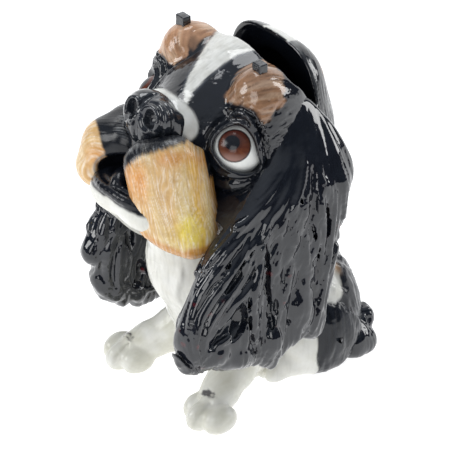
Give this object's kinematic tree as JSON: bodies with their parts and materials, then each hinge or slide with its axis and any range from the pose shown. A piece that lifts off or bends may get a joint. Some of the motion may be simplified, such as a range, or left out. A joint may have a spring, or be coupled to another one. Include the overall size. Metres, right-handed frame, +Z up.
{
  "type": "ceramic dog figurine",
  "caption": "Sitting long-eared spaniel ornament in glazed earthenware, head tipped up, with a wide slot across the crown behind the brow, read as a rest for folded spectacles.",
  "frame": {"origin": "centre of the bounding box, on the plane the figurine stands on", "axes": "+Z up; the dog faces -Y; +X is the dog's left side"},
  "size_m": [0.1144, 0.1311, 0.1745],
  "materials": {
    "white_glaze": "glossy cream-white glaze over earthenware",
    "black_glaze": "glossy black glaze, thin and greyer on carved ridges",
    "nose_glaze": "thick glossy black glaze",
    "tan_glaze": "golden tan glaze with brushed streaks, glossy",
    "eye_glaze": "red-brown iris, black pupil and white, clear glossy glaze"
  },
  "bodies": {
    "root": {"torso": "white_glaze", "lower_jaw": "white_glaze", "left_front_leg": "white_glaze", "right_front_leg": "white_glaze", "left_hind_leg": "white_glaze", "right_hind_leg": "white_glaze", "head_shell": "black_glaze", "left_ear": "black_glaze", "right_ear": "black_glaze", "tail": "black_glaze", "nose": "nose_glaze", "left_peg": "nose_glaze", "right_peg": "nose_glaze", "left_flew": "tan_glaze", "right_flew": "tan_glaze", "left_eye": "eye_glaze", "right_eye": "eye_glaze"}
  },
  "joints": []
}
